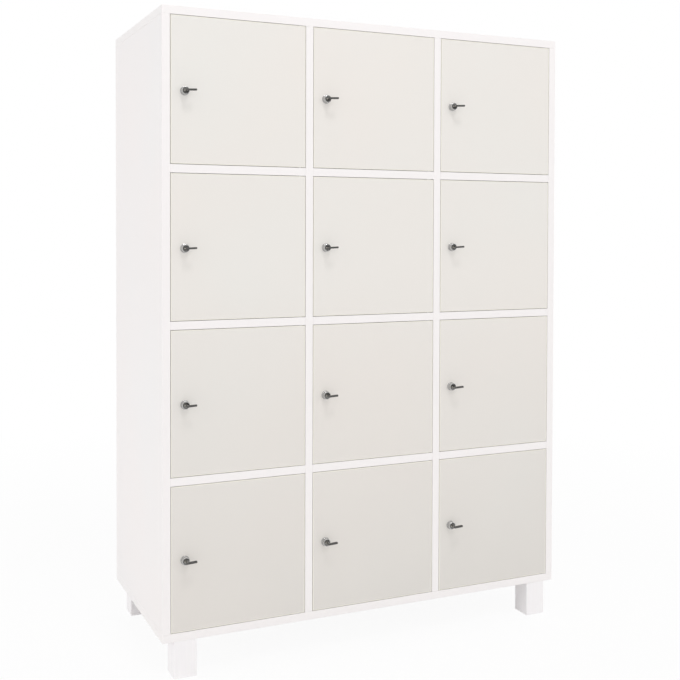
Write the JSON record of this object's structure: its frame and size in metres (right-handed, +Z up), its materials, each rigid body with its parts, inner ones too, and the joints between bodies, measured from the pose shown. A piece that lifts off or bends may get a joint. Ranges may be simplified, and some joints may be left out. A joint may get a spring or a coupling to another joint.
{
  "type": "compartment locker",
  "caption": "Free-standing white board locker on square legs: a grid of flush, separately lockable doors on hidden pivot pins, each with a cylinder cam lock and its key.",
  "frame": {"origin": "on the floor, at the centre of the whole object's box with the keys standing in the locks", "axes": "+X to the right seen from the front, +Y to the back, +Z up"},
  "size_m": [1, 0.477, 1.43],
  "materials": {
    "white_board": "white satin laminated board",
    "door_board": "off-white satin laminated board",
    "back_board": "white painted fibreboard",
    "leg_paint": "white painted wood",
    "strike_nylon": "white nylon",
    "dowel_beech": "plain beech",
    "screw_steel": "zinc plated steel",
    "pin_steel": "bright steel",
    "lock_chrome": "chrome plated",
    "plug_steel": "nickel plated",
    "key_black": "dark moulded head on a steel blade"
  },
  "bodies": {
    "carcass": {"side_left": "white_board", "side_right": "white_board", "dividers": "white_board", "top_panel": "white_board", "bottom_panel": "white_board", "shelves": "white_board", "back_panel": "back_board", "legs": "leg_paint", "strike_blocks": "strike_nylon", "dowels": "dowel_beech", "screws": "screw_steel", "hinge_pins": "pin_steel"},
    "door_r1c1": {"door_r1c1": "door_board", "lock_housing_r1c1": "lock_chrome"},
    "lock_r1c1": {"lock_plug_r1c1": "plug_steel"},
    "key_r1c1": {"key_r1c1": "key_black"},
    "door_r1c2": {"door_r1c2": "door_board", "lock_housing_r1c2": "lock_chrome"},
    "lock_r1c2": {"lock_plug_r1c2": "plug_steel"},
    "key_r1c2": {"key_r1c2": "key_black"},
    "door_r1c3": {"door_r1c3": "door_board", "lock_housing_r1c3": "lock_chrome"},
    "lock_r1c3": {"lock_plug_r1c3": "plug_steel"},
    "key_r1c3": {"key_r1c3": "key_black"},
    "door_r2c1": {"door_r2c1": "door_board", "lock_housing_r2c1": "lock_chrome"},
    "lock_r2c1": {"lock_plug_r2c1": "plug_steel"},
    "key_r2c1": {"key_r2c1": "key_black"},
    "door_r2c2": {"door_r2c2": "door_board", "lock_housing_r2c2": "lock_chrome"},
    "lock_r2c2": {"lock_plug_r2c2": "plug_steel"},
    "key_r2c2": {"key_r2c2": "key_black"},
    "door_r2c3": {"door_r2c3": "door_board", "lock_housing_r2c3": "lock_chrome"},
    "lock_r2c3": {"lock_plug_r2c3": "plug_steel"},
    "key_r2c3": {"key_r2c3": "key_black"},
    "door_r3c1": {"door_r3c1": "door_board", "lock_housing_r3c1": "lock_chrome"},
    "lock_r3c1": {"lock_plug_r3c1": "plug_steel"},
    "key_r3c1": {"key_r3c1": "key_black"},
    "door_r3c2": {"door_r3c2": "door_board", "lock_housing_r3c2": "lock_chrome"},
    "lock_r3c2": {"lock_plug_r3c2": "plug_steel"},
    "key_r3c2": {"key_r3c2": "key_black"},
    "door_r3c3": {"door_r3c3": "door_board", "lock_housing_r3c3": "lock_chrome"},
    "lock_r3c3": {"lock_plug_r3c3": "plug_steel"},
    "key_r3c3": {"key_r3c3": "key_black"},
    "door_r4c1": {"door_r4c1": "door_board", "lock_housing_r4c1": "lock_chrome"},
    "lock_r4c1": {"lock_plug_r4c1": "plug_steel"},
    "key_r4c1": {"key_r4c1": "key_black"},
    "door_r4c2": {"door_r4c2": "door_board", "lock_housing_r4c2": "lock_chrome"},
    "lock_r4c2": {"lock_plug_r4c2": "plug_steel"},
    "key_r4c2": {"key_r4c2": "key_black"},
    "door_r4c3": {"door_r4c3": "door_board", "lock_housing_r4c3": "lock_chrome"},
    "lock_r4c3": {"lock_plug_r4c3": "plug_steel"},
    "key_r4c3": {"key_r4c3": "key_black"}
  },
  "joints": [
    {"name": "door_r1c1_swing", "type": "hinge", "parent": "carcass", "child": "door_r1c1", "pos_m": [-0.18567, -0.20655, 1.252], "axis": [0, 0, 1], "range_deg": [0, 110]},
    {"name": "lock_r1c1_turn", "type": "hinge", "parent": "door_r1c1", "child": "lock_r1c1", "pos_m": [-0.451, -0.21155, 1.252], "axis": [0, 1, 0], "range_deg": [0, 90]},
    {"name": "key_r1c1_pull", "type": "slide", "parent": "lock_r1c1", "child": "key_r1c1", "axis": [0, -1, 0], "range_m": [0, 0.026]},
    {"name": "door_r1c2_swing", "type": "hinge", "parent": "carcass", "child": "door_r1c2", "pos_m": [0.14167, -0.20655, 1.252], "axis": [0, 0, 1], "range_deg": [0, 110]},
    {"name": "lock_r1c2_turn", "type": "hinge", "parent": "door_r1c2", "child": "lock_r1c2", "pos_m": [-0.12367, -0.21155, 1.252], "axis": [0, 1, 0], "range_deg": [0, 90]},
    {"name": "key_r1c2_pull", "type": "slide", "parent": "lock_r1c2", "child": "key_r1c2", "axis": [0, -1, 0], "range_m": [0, 0.026]},
    {"name": "door_r1c3_swing", "type": "hinge", "parent": "carcass", "child": "door_r1c3", "pos_m": [0.469, -0.20655, 1.252], "axis": [0, 0, 1], "range_deg": [0, 110]},
    {"name": "lock_r1c3_turn", "type": "hinge", "parent": "door_r1c3", "child": "lock_r1c3", "pos_m": [0.20367, -0.21155, 1.252], "axis": [0, 1, 0], "range_deg": [0, 90]},
    {"name": "key_r1c3_pull", "type": "slide", "parent": "lock_r1c3", "child": "key_r1c3", "axis": [0, -1, 0], "range_m": [0, 0.026]},
    {"name": "door_r2c1_swing", "type": "hinge", "parent": "carcass", "child": "door_r2c1", "pos_m": [-0.18567, -0.20655, 0.919], "axis": [0, 0, 1], "range_deg": [0, 110]},
    {"name": "lock_r2c1_turn", "type": "hinge", "parent": "door_r2c1", "child": "lock_r2c1", "pos_m": [-0.451, -0.21155, 0.919], "axis": [0, 1, 0], "range_deg": [0, 90]},
    {"name": "key_r2c1_pull", "type": "slide", "parent": "lock_r2c1", "child": "key_r2c1", "axis": [0, -1, 0], "range_m": [0, 0.026]},
    {"name": "door_r2c2_swing", "type": "hinge", "parent": "carcass", "child": "door_r2c2", "pos_m": [0.14167, -0.20655, 0.919], "axis": [0, 0, 1], "range_deg": [0, 110]},
    {"name": "lock_r2c2_turn", "type": "hinge", "parent": "door_r2c2", "child": "lock_r2c2", "pos_m": [-0.12367, -0.21155, 0.919], "axis": [0, 1, 0], "range_deg": [0, 90]},
    {"name": "key_r2c2_pull", "type": "slide", "parent": "lock_r2c2", "child": "key_r2c2", "axis": [0, -1, 0], "range_m": [0, 0.026]},
    {"name": "door_r2c3_swing", "type": "hinge", "parent": "carcass", "child": "door_r2c3", "pos_m": [0.469, -0.20655, 0.919], "axis": [0, 0, 1], "range_deg": [0, 110]},
    {"name": "lock_r2c3_turn", "type": "hinge", "parent": "door_r2c3", "child": "lock_r2c3", "pos_m": [0.20367, -0.21155, 0.919], "axis": [0, 1, 0], "range_deg": [0, 90]},
    {"name": "key_r2c3_pull", "type": "slide", "parent": "lock_r2c3", "child": "key_r2c3", "axis": [0, -1, 0], "range_m": [0, 0.026]},
    {"name": "door_r3c1_swing", "type": "hinge", "parent": "carcass", "child": "door_r3c1", "pos_m": [-0.18567, -0.20655, 0.586], "axis": [0, 0, 1], "range_deg": [0, 110]},
    {"name": "lock_r3c1_turn", "type": "hinge", "parent": "door_r3c1", "child": "lock_r3c1", "pos_m": [-0.451, -0.21155, 0.586], "axis": [0, 1, 0], "range_deg": [0, 90]},
    {"name": "key_r3c1_pull", "type": "slide", "parent": "lock_r3c1", "child": "key_r3c1", "axis": [0, -1, 0], "range_m": [0, 0.026]},
    {"name": "door_r3c2_swing", "type": "hinge", "parent": "carcass", "child": "door_r3c2", "pos_m": [0.14167, -0.20655, 0.586], "axis": [0, 0, 1], "range_deg": [0, 110]},
    {"name": "lock_r3c2_turn", "type": "hinge", "parent": "door_r3c2", "child": "lock_r3c2", "pos_m": [-0.12367, -0.21155, 0.586], "axis": [0, 1, 0], "range_deg": [0, 90]},
    {"name": "key_r3c2_pull", "type": "slide", "parent": "lock_r3c2", "child": "key_r3c2", "axis": [0, -1, 0], "range_m": [0, 0.026]},
    {"name": "door_r3c3_swing", "type": "hinge", "parent": "carcass", "child": "door_r3c3", "pos_m": [0.469, -0.20655, 0.586], "axis": [0, 0, 1], "range_deg": [0, 110]},
    {"name": "lock_r3c3_turn", "type": "hinge", "parent": "door_r3c3", "child": "lock_r3c3", "pos_m": [0.20367, -0.21155, 0.586], "axis": [0, 1, 0], "range_deg": [0, 90]},
    {"name": "key_r3c3_pull", "type": "slide", "parent": "lock_r3c3", "child": "key_r3c3", "axis": [0, -1, 0], "range_m": [0, 0.026]},
    {"name": "door_r4c1_swing", "type": "hinge", "parent": "carcass", "child": "door_r4c1", "pos_m": [-0.18567, -0.20655, 0.253], "axis": [0, 0, 1], "range_deg": [0, 110]},
    {"name": "lock_r4c1_turn", "type": "hinge", "parent": "door_r4c1", "child": "lock_r4c1", "pos_m": [-0.451, -0.21155, 0.253], "axis": [0, 1, 0], "range_deg": [0, 90]},
    {"name": "key_r4c1_pull", "type": "slide", "parent": "lock_r4c1", "child": "key_r4c1", "axis": [0, -1, 0], "range_m": [0, 0.026]},
    {"name": "door_r4c2_swing", "type": "hinge", "parent": "carcass", "child": "door_r4c2", "pos_m": [0.14167, -0.20655, 0.253], "axis": [0, 0, 1], "range_deg": [0, 110]},
    {"name": "lock_r4c2_turn", "type": "hinge", "parent": "door_r4c2", "child": "lock_r4c2", "pos_m": [-0.12367, -0.21155, 0.253], "axis": [0, 1, 0], "range_deg": [0, 90]},
    {"name": "key_r4c2_pull", "type": "slide", "parent": "lock_r4c2", "child": "key_r4c2", "axis": [0, -1, 0], "range_m": [0, 0.026]},
    {"name": "door_r4c3_swing", "type": "hinge", "parent": "carcass", "child": "door_r4c3", "pos_m": [0.469, -0.20655, 0.253], "axis": [0, 0, 1], "range_deg": [0, 110]},
    {"name": "lock_r4c3_turn", "type": "hinge", "parent": "door_r4c3", "child": "lock_r4c3", "pos_m": [0.20367, -0.21155, 0.253], "axis": [0, 1, 0], "range_deg": [0, 90]},
    {"name": "key_r4c3_pull", "type": "slide", "parent": "lock_r4c3", "child": "key_r4c3", "axis": [0, -1, 0], "range_m": [0, 0.026]}
  ]
}
